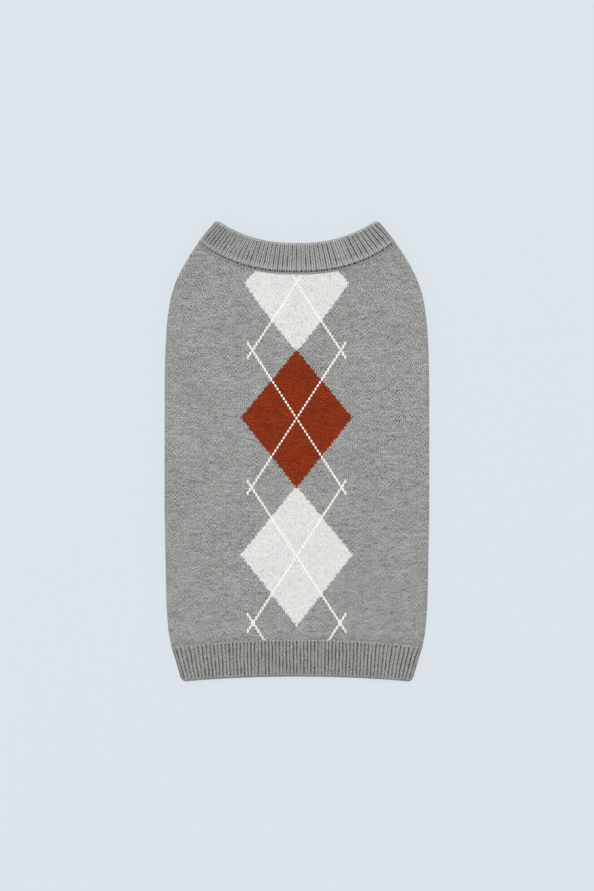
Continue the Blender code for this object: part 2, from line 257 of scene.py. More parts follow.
def add_mesh(name, points, groups, material, uvs=None, sunk=None):
    """A named object at the origin from whole arrays: points, groups of faces with equal numbers of corners,
    and for knits a UV for each corner and a mark for each point, from 0 to 1 where it is sunk, for painted
    shade."""
    mesh = bpy.data.meshes.new(name)
    mesh.vertices.add(len(points))
    mesh.vertices.foreach_set("co", points.astype(np.float32).ravel())
    corners = np.concatenate([group.ravel() for group in groups])
    sides = np.concatenate([np.full(len(group), group.shape[1]) for group in groups])
    mesh.loops.add(len(corners))
    mesh.loops.foreach_set("vertex_index", corners.astype(np.int32))
    mesh.polygons.add(len(sides))
    mesh.polygons.foreach_set("loop_start", (np.cumsum(sides) - sides).astype(np.int32))
    mesh.update(calc_edges=True)
    if uvs is not None:
        layer = mesh.uv_layers.new(name="knit")
        layer.data.foreach_set("uv", uvs.astype(np.float32).ravel())
        mark = mesh.attributes.new("sunk", "FLOAT", "POINT")
        mark.data.foreach_set("value", sunk.astype(np.float32).ravel())
    mesh.materials.append(material)
    mesh.shade_smooth()
    made = bpy.data.objects.new(name, mesh)
    bpy.context.scene.collection.objects.link(made)
    return made


def math_node(operation, swapped=False):
    """A method of the class below: a Math node over the value itself and what it is given."""

    def method(self, *others):
        values = (*others, self) if swapped else (self, *others)
        return self.node("Math", dict(enumerate(values)), operation=operation)

    return method


class Value:
    """A socket among a material's nodes. Arithmetic on it adds Math nodes, and node() adds any other."""

    __add__ = __radd__ = math_node("ADD")
    __sub__ = math_node("SUBTRACT")
    __rsub__ = math_node("SUBTRACT", swapped=True)
    __mul__ = __rmul__ = math_node("MULTIPLY")
    __truediv__ = math_node("DIVIDE")
    __mod__ = math_node("FLOORED_MODULO")
    __pow__ = math_node("POWER")
    __lt__ = math_node("LESS_THAN")
    __gt__ = math_node("GREATER_THAN")
    __abs__ = math_node("ABSOLUTE")
    floor = math_node("FLOOR")
    at_least = math_node("MAXIMUM")

    def __init__(self, tree, socket=None):
        self.tree = tree
        self.socket = socket

    def node(self, kind, sockets, output=0, **settings):
        """Adds a node: first its settings, then a number, a colour or a link for each of its sockets."""
        made = self.tree.nodes.new("ShaderNode" + kind)
        for word, setting in settings.items():
            setattr(made, word, setting)
        for word, given in sockets.items():
            if isinstance(given, Value):
                self.tree.links.new(given.socket, made.inputs[word])
            else:
                made.inputs[word].default_value = given
        return Value(self.tree, made.outputs[output])

    def feeds(self, shader, word):
        """Links this to one of the shader's sockets."""
        self.tree.links.new(self.socket, shader.inputs[word])

    def mixed(self, colour, other):
        """One colour where this is 0, and the other where it is 1."""
        return self.node("Mix", {0: self, 6: colour, 7: other}, 2, data_type="RGBA")

    def scaled(self, colour):
        """A colour times this number."""
        return self.node("VectorMath", {0: colour, "Scale": self}, operation="SCALE")

    def dice(self, x, y):
        """A random number from 0 to 1 for each whole x and y."""
        place = self.node("CombineXYZ", {"X": x, "Y": y})
        return self.node("TexWhiteNoise", {"Vector": place}, "Value", noise_dimensions="2D")

    def clouds(self, x, y, detail):
        """Smooth noise round 0.5 over x and y."""
        place = self.node("CombineXYZ", {"X": x, "Y": y})
        sockets = {"Vector": place, "Scale": 1.0, "Detail": detail}
        return self.node("TexNoise", sockets, noise_dimensions="2D")


LEG_SLANT = 1.5  # courses that a stitch's leg climbs over the width of a wale
DARKEST = 0.05  # the least brightness of marl yarn


class Stitches:
    """Where a place lies among V-shaped stitches, from the piece's UVs: U counts wales and V courses. Each
    wale holds two slanted legs side by side, and each leg is a rounded pad. Between wales runs a valley, a
    cube of the way out from the wale's middle, less its mean, which the materials paint as shade."""

    def __init__(self, start):
        place = start.node("UVMap", {}, uv_map="knit")
        u, v = [start.node("SeparateXYZ", {"Vector": place}, axis) for axis in "XY"]
        self.u, self.v = u, v
        self.wale = u.floor()
        self.off = abs(u - self.wale - 0.5)
        slanted = v - self.off * LEG_SLANT
        self.row = slanted.floor()
        self.leg = (u * 2).floor()
        across = self.off * 4 - 1
        along = (slanted - self.row) * 2 - 1
        self.pad = ((1 - across * across) * (1 - along * along)) ** 0.5
        self.valley = (self.off * 2) ** 3 - 0.25


def heather(stitches, amount):
    """Brightness of marl yarn: light or dark by chance for each tuft of fibres and each twist of the plies,
    with slower drifts: from run to run of the yarn, in streaks and in blotches."""
    s = stitches
    tufts_across, tufts_up, tuft_share = 2.83, 2.17, 0.6
    turns_up, twists_up, twist_share, twist_dice = 1.5, 0.75, 0.85, 91.5
    # How fast the drifts change across and up, their detail and their share.
    runs_across, runs_up, runs_apart, run_share = 0.2, 1.6, 7.31, 1.15
    drifts = (0.07, 0.4, 3.0, 0.30), (0.05, 0.045, 2.0, 0.20)
    tuft = s.u.dice((s.u * tufts_across).floor(), (s.v * tufts_up).floor())
    plies = (s.leg + (s.v * turns_up).floor()) % 2 * 2 - 1
    twist = s.u.dice(s.wale + twist_dice, (s.v * twists_up).floor())
    chance = ((tuft > 0.5) - 0.5) * tuft_share + ((twist > 0.5) - 0.5) * plies * twist_share
    run = s.u.clouds(s.u * runs_across, (s.v * runs_up).floor() * runs_apart, 1.0)
    chance = chance + (run - 0.5) * run_share
    for across, up, detail, share in drifts:
        chance = chance + (s.u.clouds(s.u * across, s.v * up, detail) - 0.5) * share
    return (1 + chance * amount).at_least(DARKEST)


def marl(amount, colour):
    """Yarn of one colour, marled by an amount, for knit_material."""
    return lambda stitches: heather(stitches, amount).scaled(colour)


def new_material(name, settings):
    """A material with these constant settings of its shader, and the shader itself."""
    made = bpy.data.materials.new(name)
    made.use_nodes = True
    shader = made.node_tree.nodes["Principled BSDF"]
    for word, setting in settings.items():
        shader.inputs[word].default_value = setting
    return made, shader


WOOL = {"Sheen Weight": 0.55, "Sheen Roughness": 0.3, "Specular IOR Level": 0.2}  # soft sheen, little shine
PAD_BUMP = {"Distance": 0.00022, "Strength": 0.7}  # a stitch's pad as bump
PAD_TOP = 1.04  # painted brightness of its top, where most light falls


def knit_material(name, colour_of, pad_shade, sunk_shade, valley_shade=0.0):
    """Matt wool knit: colour_of gives the yarn's colour at a place, with painted shade on it: darker by
    pad_shade between the pads of the stitches, by sunk_shade where the cloth is sunk or turns from the light
    and by valley_shade between the wales, and lightest on the pads' tops. Pads and fibres are also bump."""
    made, shader = new_material(name, WOOL)
    start = Value(made.node_tree)
    stitches = Stitches(start)
    sunk = start.node("Attribute", {}, "Fac", attribute_name="sunk")
    # painted shade and light: dark between pads, in sunk places and between wales, bright on the pads' tops
    shade = (PAD_TOP - pad_shade + stitches.pad * pad_shade) * (1 - sunk_shade * sunk)
    shade = shade * (1 - stitches.valley * valley_shade)
    fibres_across, fibres_up, fibre_share = 7.0, 5.0, 0.5
    fuzz = start.clouds(stitches.u * fibres_across, stitches.v * fibres_up, 4.0)
    height = stitches.pad + fuzz * fibre_share
    shade.scaled(colour_of(stitches)).feeds(shader, "Base Color")
    (0.86 + fuzz * 0.14).feeds(shader, "Roughness")
    start.node("Bump", {"Height": height} | PAD_BUMP).feeds(shader, "Normal")
    return made


# how strong the painted shade is between pads, where sunk and between wales
JERSEY_SHADES = {"pad_shade": 0.34, "sunk_shade": 0.5, "valley_shade": 0.35}
GREY_MARL, WHITE_MARL, RUST_MARL, LINE_MARL = 0.70, 0.20, 0.74, 0.10  # how strongly each yarn is marled
WHITE_VALLEY = -0.20  # the painted shade in the valleys between wales is weaker on white
FLECK = {"above": 0.93, "shade": 0.22, "dice": 7.5}  # dark flecks in the white, by chance
DIAMOND_WALES = 26.4  # half the width of a diamond
# Each diamond's middle row, and how many courses it reaches up and down from there.
UPPER_WHITE, MIDDLE_RUST, LOWER_WHITE = (83.2, 43.5, 42.8), (0, 41.8, 43.3), (-84.4, 42.3, 44.0)
LINE_ROWS = (83.7, 0, -85, -167)  # rows where the lines cross on the middle
LINE_WALES = 23.5  # how far out the lines run
# A line's dashes: half their width and length, their tilt, how far round them a painted shadow falls on the
# rust and how dark that is, and on grey and white how much wider they spread and how much of their white
# shows.
DASH = {"wide": 0.50, "long": 0.92, "tilt": 0.20, "ring": 1.4, "dark": 0.45, "soft": 0.95, "shows": 0.80}
FAR_OFF = 9  # more than any dash's value


def diamond(stitches, middle, up, down):
    """1 in the stitches of a diamond with its widest row at middle."""
    off = stitches.row - middle
    share = (off / up).at_least(off / -down)
    return abs(stitches.wale) < (1 - share) * DIAMOND_WALES


def dashes(stitches, row):
    """Lines that run out from a crossing on a row, a dash of yarn on each wale and two courses further each
    time: 1 in the middle of a dash, 0 at its edge and less outside."""
    wales = abs(stitches.wale)
    along = abs(stitches.v - 0.5 - row) - wales * 2
    across = abs(stitches.u - 0.5) - wales - along * DASH["tilt"]
    round_it = (across / DASH["wide"]) ** 2 + (along / DASH["long"]) ** 2
    return (1 - round_it) - (wales > LINE_WALES) * FAR_OFF


def argyle(stitches):
    """Grey marl, the white and rust diamonds in their stitches, and the lines over them, with a painted
    shadow on the rust round them.
    """
    s = stitches
    fleck = 1 - (s.u.dice(s.leg + FLECK["dice"], s.row) > FLECK["above"]) * FLECK["shade"]
    grey = heather(s, GREY_MARL).scaled(JERSEY_LIGHT)
    # white yarn takes less of the painted shade between wales
    white = (fleck * heather(s, WHITE_MARL) * (1 - s.valley * WHITE_VALLEY)).scaled(MARL_WHITE)
    rust = heather(s, RUST_MARL).scaled(RUST)
    in_white = diamond(s, *UPPER_WHITE).at_least(diamond(s, *LOWER_WHITE))
    in_rust = diamond(s, *MIDDLE_RUST)
    ground = in_rust.mixed(in_white.mixed(grey, white), rust)
    line = dashes(s, LINE_ROWS[0])
    for row in LINE_ROWS[1:]:
        line = line.at_least(dashes(s, row))
    # painted shadow of the lines' yarn on the rust next to each dash
    shaded = (1 - DASH["dark"] * in_rust * (line > -DASH["ring"])).scaled(ground)
    cream = heather(s, LINE_MARL)
    cream = in_rust.mixed(cream.scaled(LINE_WHITE), cream.scaled(LINE_ON_RUST))
    spread = (1 - in_rust) * DASH["soft"]
    shows = DASH["shows"] + (1 - DASH["shows"]) * in_rust
    return ((line + spread > 0.0) * shows).mixed(shaded, cream)


argyle_jersey = knit_material("argyle_jersey", argyle, **JERSEY_SHADES)

end = WALE_POINTS * int((FLAT_REACH + ROLL_LENGTH + TURN_UNDER - BODY_FOLD) / WALE) + 1
even = ((np.arange(-end, end) + 0.5) * WALE / WALE_POINTS)[:, None]
cloth = even - ARGYLE_OFF_CENTRE * (1 - (even / even.max()) ** 2)
outer_rows = np.linspace(0, 1, BACK_ROWS)[None, :]
inner_rows = outer_rows[:, ::-BACK_INNER_EVERY]
x, y, _, layer = back_surface(cloth, outer_rows, 0.0)
on_top = np.clip(np.sin(layer), 0, 1)
wale_place = even / WALE + 0.5
in_groove = np.isclose(wale_place, np.round(wale_place)) + 0 * x
from_neck = line_height(NECK_SEAM, x, layer, BELLY_SCOOP) - y
from_hem = y - line_height(HEM_SEAM, x, layer)
from_side = np.abs(cloth[-1, 0]) - np.abs(cloth)
from_seams = np.minimum(from_neck, from_hem)
rounded = np.maximum(edge_drop(from_neck, PANEL_EDGE), edge_drop(from_side, PANEL_EDGE))
rounded = np.maximum(rounded, edge_drop(from_hem, HEM_SEAM_EDGE))
sink = WALE_RIDGE * in_groove + rounded
x_out, y_out, z_out, _ = back_surface(cloth, outer_rows, sink)
z_out = z_out + waves(x_out, y_out) * on_top * eased(from_seams / WAVE_FADE)
x_in, y_in, z_in, _ = back_surface(cloth, inner_rows, JERSEY)
from_ends = np.minimum(inner_rows, 1 - inner_rows)
z_in = z_in + waves(x_in, y_in) * on_top * eased(from_ends / INSIDE_FADE)
outer = np.stack([x_out, y_out, z_out], -1)
inner = np.stack([x_in, y_in, z_in], -1)
points = np.concatenate([outer, inner], 1)
u = wale_place + 0 * points[..., 0]
v = (points[..., 1] - ARGYLE_MIDDLE) / COURSE + 0.5
# painted shade on the jersey's last courses above the hem rib, not a dip in their shape
dip = SHADE_ABOVE_HEM["shade"] * np.exp(-(((from_hem - SHADE_ABOVE_HEM["above"]) / SHADE_ABOVE_HEM["width"]) ** 2))
# the mark for painted shade: on the edges rounded at the seams, above the hem rib and on the inside
sunk = np.concatenate([np.maximum(rounded / PANEL_EDGE, dip), 0 * x_in + INSIDE_SHADE], 1)
back = wall_mesh("back_jersey", points, u, v, sunk, argyle_jersey, BACK_ROWS)
back.data.set_sharp_from_angle(angle=SHARP)  # the lower edge meets the rib squarely
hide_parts("back_panel")
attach(back, "root")


# ---- Belly panel -------------------------------
# Plain jersey between the two side seams, lying flat underneath. Its neckline is cut lower than the back's,
# and it has an oval hole for each foreleg. Its edges are rounded where the seams draw them in.
SEAM_GAP = 0.0003  # between two pieces at their seam
BELLY_WALES, BELLY_ROWS = 100, 121  # columns of stitches, and rows of points


def shell_mesh(name, outer, inner, kept, u, v, sunk, material):
    """A closed wall between two grids of points, without the cells where kept is False. Its rim joins the
    edges that only one kept cell uses, and points that no cell uses are left out."""
    columns, rows = outer.shape[:2]
    i, j = np.nonzero(kept)
    low = i * rows + j
    quads = np.stack([low, low + rows, low + rows + 1, low + 1], -1)
    count = columns * rows
    start, end = np.concatenate([quads[:, [k, (k + 1) % 4]] for k in range(4)]).T
    lone = ~np.isin(start * count + end, end * count + start)
    start, end = start[lone], end[lone]
    rim = np.stack([end, start, start + count, end + count], -1)
    faces = np.concatenate([quads, quads[:, ::-1] + count, rim])
    used, compact = np.unique(faces, return_inverse=True)
    points = np.concatenate([outer.reshape(-1, 3), inner.reshape(-1, 3)])
    uvs = np.stack([np.ravel(u), np.ravel(v)], -1)[faces.ravel() % count]
    return add_mesh(name, points[used], [compact.reshape(-1, 4)], material, uvs, sunk[used])


def moved_to_holes(x, y):
    """Moves the grid's points just inside a leg hole onto its oval, and says which cells lie in no hole."""
    side = np.sign(x) + (x == 0)
    off_x, off_y = x - side * LEG_HOLE["x"], y - LEG_HOLE["y"]
    out = way_out(x, y)
    inside = out < 1
    kept = ~(inside[:-1, :-1] & inside[1:, :-1] & inside[1:, 1:] & inside[:-1, 1:])
    touched = np.zeros_like(inside)
    for di in (0, 1):
        for dj in (0, 1):
            touched[di : di + kept.shape[0], dj : dj + kept.shape[1]] |= kept
    snap = inside & touched
    scale = np.where(snap, 1 / out, 1)
    out_size = (LEG_HOLE["half_width"] + LEG_HOLE["half_height"]) / 2
    from_hole = np.clip(out * scale - 1, 0, None) * out_size
    return side * LEG_HOLE["x"] + off_x * scale, LEG_HOLE["y"] + off_y * scale, kept, from_hole


def on_belly(across, up, off=0.0):
    """X and y on the belly layer at shares of the ways across and up it, and off in metres across it."""
    x = across * FLAT_REACH + 0 * up
    for _ in range(SETTLE_ROUNDS):
        y = way_up(x, BOTTOM, up)
        x = across * (half_width(y) - body_heights(x, y)[0]) + off
    return x, y


belly_jersey = knit_material("plain_jersey", marl(GREY_MARL, JERSEY_LIGHT), **JERSEY_SHADES)

reach = seam_share() - SEAM_GAP / half_width(0.0)
wale_place = np.linspace(BELLY_WALES, 0, WALE_POINTS * BELLY_WALES + 1)[:, None]
share_across = (2 * wale_place / BELLY_WALES - 1) * reach
x, y = on_belly(share_across, np.linspace(0, 1, BELLY_ROWS)[None, :])
from_neck = line_height(NECK_SEAM, x, BOTTOM, BELLY_SCOOP) - y
from_ends = np.minimum(from_neck, y - line_height(HEM_SEAM, x, BOTTOM))
x, y, kept, from_hole = moved_to_holes(x, y)
from_side = (reach - np.abs(share_across)) * FLAT_REACH
from_edge = np.minimum(np.minimum(from_ends, from_side), from_hole)
rounded = edge_drop(from_edge, PANEL_EDGE)
sink = np.maximum(WALE_RIDGE * np.isclose(wale_place, np.round(wale_place)), rounded)
outer = np.stack([x, y, sink + 0 * x], -1)
inner = np.stack([x, y, 0 * x + JERSEY], -1)
u = wale_place + 0 * x
v = (y - ARGYLE_MIDDLE) / COURSE
# the mark for painted shade on the rounded edges and on the inside
sunk = np.concatenate([(rounded / PANEL_EDGE).ravel(), INSIDE_SHADE + 0 * x.ravel()])
belly = shell_mesh("belly_jersey", outer, inner, kept, u, v, sunk, belly_jersey)
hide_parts("belly_panel")
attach(belly, "root")


# ---- Side seams --------------------------------
# Underneath, each long edge of the back panel is linked to the belly panel with the sweater's own yarn, in a
# chain of slanted loops. It lies in the groove between the two rounded edges, clear of the table.
LINK_PITCH = 0.0019  # length of one loop along its seam
LINK_PAD = np.array([0.00115, 0.00040, 0.00042])  # half sizes of one side of a loop: along, across, thick
LINK_SLANT = np.radians(17)
LINK_SPREAD = 0.00036  # from the chain's middle to each side of a loop
LINK_HEIGHT = LINK_PAD[2] + 0.0001  # of its middle underneath, clear of the table
DOWN = (0, 0, -1)
PAD_RINGS, PAD_SIDES = 5, 8
SEAM_ROWS = np.linspace(0.004, 0.996, 160)  # shares of the way up where the seams are traced


def pads(middles, along, across, up, sizes):
    """Points and faces of rounded pads, one for each middle: a sphere in rings from pole to pole, stretched
    by sizes along its own three directions."""
    rings = np.linspace(0, np.pi, PAD_RINGS + 2)[1:-1, None]
    round_it = np.linspace(0, 2 * np.pi, PAD_SIDES, endpoint=False)
    ring_x = np.cos(rings) + 0 * round_it
    ring_y = np.sin(rings) * np.cos(round_it)
    ring_z = np.sin(rings) * np.sin(round_it)
    sphere = np.stack([ring_x, ring_y, ring_z], -1).reshape(-1, 3)
    sphere = np.concatenate([sphere, [[1, 0, 0], [-1, 0, 0]]]) * sizes
    axes = np.stack([along, across, up], 1)
    points = middles[:, None, :] + np.einsum("pk,nkc->npc", sphere, axes)
    ring = np.arange(PAD_RINGS - 1)[:, None] * PAD_SIDES
    k, after = np.arange(PAD_SIDES), (np.arange(PAD_SIDES) + 1) % PAD_SIDES
    above = ring + PAD_SIDES
    belt = np.stack([ring + k, above + k, above + after, ring + after], -1).reshape(-1, 4)
    first = np.stack([0 * k + len(sphere) - 2, k, after], -1)
    last = np.stack([0 * k + len(sphere) - 1, above[-1] + after, above[-1] + k], -1)
    poles = np.concatenate([first, last])
    starts = np.arange(len(middles))[:, None, None] * len(sphere)
    return points.reshape(-1, 3), (starts + belt).reshape(-1, 4), (starts + poles).reshape(-1, 3)


def unit(vectors):
    """The same directions with a length of 1."""
    return vectors / np.linalg.norm(vectors, axis=1, keepdims=True)


def squared(vectors, others):
    """Vectors of length 1 at right angles to the others, as near the given ones as they can be."""
    return unit(vectors - others * np.sum(vectors * others, 1, keepdims=True))


def spaced(route, ups, closed):
    """Places every LINK_PITCH along a route, with the direction along it and the way up at each."""
    if closed:
        route, ups = (np.concatenate([line, line[:1]]) for line in (route, ups))
    run = np.concatenate([[0], np.cumsum(np.linalg.norm(np.diff(route, axis=0), axis=1))])
    count = int(round(run[-1] / LINK_PITCH))
    at = (np.arange(count) + 0.5) * run[-1] / count
    near = run[-1] / count / 4

    def along_route(values, places):
        return np.stack([np.interp(places, run, values[:, axis]) for axis in range(3)], -1)

    middles = along_route(route, at)
    along = unit(along_route(route, at + near) - along_route(route, at - near))
    up = squared(along_route(ups, at), along)
    return middles, along, np.cross(up, along), up


def linked_chain(name, routes, closed, extra=()):
    """Chains of yarn along routes, each a list of points and their ways up: every loop is two pads that lie
    side by side and slant apart, so that neighbouring loops look threaded through each other."""
    parts = list(extra)
    for route, ups in routes:
        middles, along, across, up = spaced(route, ups, closed)
        for side in (-1, 1):
            turned = along * np.cos(LINK_SLANT) + side * across * np.sin(LINK_SLANT)
            sideways = np.cross(up, turned)
            parts.append(pads(middles + side * across * LINK_SPREAD, turned, sideways, up, LINK_PAD))
    points, belts, poles = zip(*parts)
    starts = np.cumsum([0] + [len(part) for part in points[:-1]])
    groups = [np.concatenate([f + start for f, start in zip(faces, starts)]) for faces in (belts, poles)]
    return add_mesh(name, np.concatenate(points), groups, grey_yarn)


# The yarn on its own has fine fibres and flecks, so many to a metre, over each piece's own coordinates.
FIBRES, FLECKS = 2600.0, 700.0
YARN_BUMP = {"Distance": 0.0002, "Strength": 0.6}
grey_yarn, shader = new_material("grey_yarn", WOOL)
start = Value(grey_yarn.node_tree)
place = {"Vector": start.node("TexCoord", {}, "Object"), "Detail": 2.0}
fibres = start.node("TexNoise", {"Scale": FIBRES} | place)
flecks = start.node("TexNoise", {"Scale": FLECKS} | place)
(0.32 + fibres * 0.5 + flecks * 0.8).scaled(JERSEY_LIGHT).feeds(shader, "Base Color")
(0.82 + fibres * 0.16).feeds(shader, "Roughness")
start.node("Bump", {"Height": fibres} | YARN_BUMP).feeds(shader, "Normal")

routes = []
for side in (-1, 1):
    x, y = on_belly(side * seam_share(), SEAM_ROWS, -side * SEAM_GAP / 2)
    route = np.stack([x, y, 0 * x + LINK_HEIGHT], -1)
    routes.append((route, np.zeros_like(route) + DOWN))
side_seams = linked_chain("side_seam_linking", routes, False)
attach(side_seams, "root")


# ---- Neckband ----------------------------------
# Ribbed band in the jersey's yarn, knitted as a strip and doubled over at the top, where its fold is smooth.
# It lies all round the neckline, and each rib is one wale, with its two legs on either side of a slight dip.
NECK_EDGE = {"half": 0.0644, "middle": 0.1664, "corner": 0.18495, "power": 2.30}
NECK_GROOVE = 0.0010  # depth between two ribs
# A band's lines, cloth and ribs, the trough where the seam draws it in, how its sides bulge and its corners
# are rounded, and how its ribs wander, fan out and differ.
NECKBAND = {
    "seam": NECK_SEAM, "edge": NECK_EDGE, "scoop": BELLY_SCOOP,
    "radius": NECK_FOLD, "cloth": NECK_CLOTH, "groove": NECK_GROOVE,
    "ribs": 42, "fold_ribs": 3, "points": 10, "rows": 60,
    "bulge": 0.0005, "rounding": 0.0016, "wander": 0.08,
    "trough": {"start": 0.0006, "end": 0.0016, "deep": 0.0018},
    "fan": {"drift": 0.10, "crowd": 0.10, "power": 2.5},
    "uneven": {"seed": 5, "changes": 4, "share": 0.45, "corners": 0.45},
}
# the jersey's yarn, lighter here so that the crests look lit between the heavier painted shade
NECK_LIGHT = (0.478, 0.474, 0.452)
NECK_MARL = 0.28
RIB_COURSE = 0.0013  # height of a row of stitches
RIB_STITCH = 0.00020  # height of their pads
STITCH_FADE = 0.002  # and how near the free edge they fade out
CORNER_POWER, BULGE_POWER = 3, 8  # powers by which these grow towards the corners
LIP_SHADE = 1.6  # how much painted shade darkens a band as its free edge turns over
BRIGHTEST = -0.25  # least mark, a painted highlight where loops stand out and catch the light
TROUGH_STEPS, LIP_STEPS, INNER_STEPS = 8, 8, 12  # rows in the trough, round the free edge and inside


def band_stations(band, place):
    """Share of the half width and layer angle at a place round a band, counted in ribs: along the top from
    the left, round the right fold, back along the lower layer and up the left fold."""
    across, fold = band["ribs"], band["fold_ribs"]
    at = np.mod(place, 2 * (across + fold))
    over = np.clip(at, 0, across) / across
    right = np.clip(at - across, 0, fold) / fold
    under = np.clip(at - across - fold, 0, across) / across
    left = np.clip(at - 2 * across - fold, 0, fold) / fold
    return 2 * over - 2 * under - 1, TOP - np.pi * right + np.pi * left


def band_ring(band, share, layer, line):
    """Outer and inner points round a band at its seam or its free edge. The seam is as wide as the body."""
    radius, cloth = band["radius"], band["cloth"]
    height = 2 * cloth + LAYER_GAP
    side = np.sign(share)
    y = line["corner"] + 0 * share
    for _ in range(SETTLE_ROUNDS):
        half = half_width(y) if line is band["seam"] else line["half"]
        flat_x = share * (half - radius)
        x, z = tube_face(flat_x, side, layer, half, radius, height, 0.0)
        y = line_height(line, x, layer, band["scoop"])
    x_in, z_in = tube_face(flat_x, side, layer, half, radius, height, cloth)
    y_in = line_height(line, x_in, layer, band["scoop"])
    return np.stack([x, y, z], -1), np.stack([x_in, y_in, z_in], -1)


def rib_shares(band, across):
    """Where the ribs stand along the seam and along the free edge, as shares of each one's half width. They
    drift to one side, crowd towards the corners, and fan out only near them, by a power of the share."""
    fan, radius = band["fan"], band["radius"]
    drifted = across - fan["drift"] * (1 - across**2)
    edge = (1 + fan["crowd"]) * drifted - fan["crowd"] * drifted**3
    wider = 1 - (band["edge"]["half"] - radius) / (band["seam"]["half"] - radius)
    return (1 - wider) * edge + wider * np.sign(edge) * np.abs(edge) ** fan["power"], edge


def along_rib(chance, rib, share):
    """Smooth chance along each rib: an eased path through its row of chance at even steps of the share."""
    steps = chance.shape[1] - 1
    at = np.clip(share, 0, 1) * steps
    low = np.clip(np.floor(at).astype(int), 0, steps - 1)
    rest = eased(at - low)
    return chance[rib, low] * (1 - rest) + chance[rib, low + 1] * rest


def band_loop(band):
    """The rows of a band's wall, up its outer face, round its free edge and down its inner face: each row's
    share of the way from seam to edge, the metres added to that, its depth in the cloth, and how far it is
    on the outside. The outer face rises out of a trough at the seam, and the free edge is half a circle."""
    lip, trough, cloth = band["cloth"] / 2, band["trough"], band["cloth"]
    rise = np.linspace(0, 1, TROUGH_STEPS + 1)[:-1] * trough["end"]
    out = np.linspace(0, 1, band["rows"])
    bend = np.linspace(0, np.pi, LIP_STEPS + 2)[1:-1]
    back = np.linspace(1, 0, INNER_STEPS)
    sunk = trough["deep"] * (1 - eased((rise - trough["start"]) / (trough["end"] - trough["start"])))
    share = np.concatenate([0 * rise, out, 0 * bend + 1, back])
    faced = trough["end"] * (1 - out) - lip * out
    added = np.concatenate([rise, faced, lip * np.sin(bend) - lip, -lip * back])
    deep = np.concatenate([sunk, 0 * out, lip * (1 - np.cos(bend)), 0 * back + cloth])
    outside = np.concatenate([0 * rise + 1, 0 * out + 1, np.cos(bend / 2) ** 2, 0 * back])
    return share, added, deep, outside


def wobble(place, share, ribs):
    """How far ribs wander sideways, in ribs: the mean of a few slow sines over place and share."""
    waves_round = np.array([3, 7, 12, 19, 26, 37, 44])
    waves_along = np.array([0.6, -0.9, 1.3, -1.7, 2.2, -2.6, 3.1])
    starts = np.array([0.3, 1.9, 4.1, 2.6, 5.2, 0.9, 3.4])
    turns = 2 * np.pi * (place[..., None] / ribs * waves_round + share[..., None] * waves_along)
    return np.sin(turns + starts).mean(-1)


def stitch_pads(u, v):
    """Height of V-shaped stitches from 0 to 1, the same pads as the material's."""
    off = np.abs(u % 1 - 0.5)
    slanted = v - off * LEG_SLANT
    along = slanted % 1 * 2 - 1
    across = off * 4 - 1
    return np.sqrt(np.clip((1 - across**2) * (1 - along**2), 0, 1))


def ribbed_band(name, band, relief, material, flipped):
    """A band all round the sweater. relief gives how deep a place is sunk, in metres, from its place within
    its rib, its distances from the seam and from the free edge, and the strength of the nearest groove."""
    full = 2 * (band["ribs"] + band["fold_ribs"])
    place = (np.arange(full * band["points"]) / band["points"])[:, None]
    share, added, deep, outside = [row[None, :] for row in band_loop(band)]
    shifted = place + band["wander"] * wobble(place + 0 * share, share + 0 * place, full) * outside
    across, layer = band_stations(band, shifted)
    at_seam, at_edge = rib_shares(band, across)
    out_seam, in_seam = band_ring(band, at_seam, layer, band["seam"])
    out_edge, in_edge = band_ring(band, at_edge, layer, band["edge"])
    length = np.linalg.norm(out_edge - out_seam, axis=-1)
    length_left = 1 - edge_drop(band["edge"]["half"] - np.abs(out_edge[..., 0]), band["rounding"]) / length
    way = (share * length_left + added / length)[..., None]
    outer = out_seam + (out_edge - out_seam) * way
    inner = in_seam + (in_edge - in_seam) * way
    from_seam, from_edge = way[..., 0] * length, (length_left - way[..., 0]) * length
    within = place % 1 + 0 * share
    uneven = band["uneven"]
    chance = np.random.default_rng(uneven["seed"]).uniform(-1, 1, (full, uneven["changes"]))
    nearest = np.floor(place + 0.5).astype(int) % full + 0 * share.astype(int)
    strength = 1 + uneven["share"] * along_rib(chance, nearest, from_seam / (from_seam + from_edge))
    strength = strength + uneven["corners"] * np.abs(across) ** CORNER_POWER
    sunk = relief(within, from_seam, from_edge, strength) * outside
    u = place + 0 * share
    v = from_seam / RIB_COURSE
    raised = RIB_STITCH * stitch_pads(u, v) * outside * eased(from_edge / STITCH_FADE)
    points = outer + (inner - outer) * ((deep + sunk - raised) / band["cloth"])[..., None]
    bulge = band["bulge"] * np.sin(np.pi * np.clip(way[..., 0], 0, 1))
    points[..., 0] += bulge * np.abs(across) ** BULGE_POWER * np.sign(across)
    points[..., 2] = np.maximum(points[..., 2], 0.0)
    u = np.concatenate([u, u[:1] + full])
    v = np.concatenate([v, v[:1]])
    # the mark for painted shade in the grooves and round the free edge, and a painted highlight where loops
    # stand out
    mark = np.clip(sunk / band["groove"] + LIP_SHADE * deep / band["cloth"], BRIGHTEST, 1)
    if flipped:
        points, u, v, mark = points[::-1], u[::-1], v[::-1], mark[::-1]
    return wall_mesh(name, points, u, v, mark, material)


def neck_relief(within, from_seam, from_edge, strength):
    """Each rib is a rounded crest with a dip between its two legs. Its grooves are shallow at the seam and
    close below the top."""
    crest, dip_depth, dip_width = 0.55, 0.45, 0.12
    closed, closing, shallow, deepening = 0.0012, 0.0016, 0.003, 0.004
    groove = (1 - np.sin(np.pi * within) ** crest) * strength
    dip = dip_depth * np.exp(-(((within - 0.5) / dip_width) ** 2))
    opens = eased((from_edge - closed) / closing) * (0.5 + 0.5 * eased((from_seam - shallow) / deepening))
    return NECK_GROOVE * (groove + dip) * opens


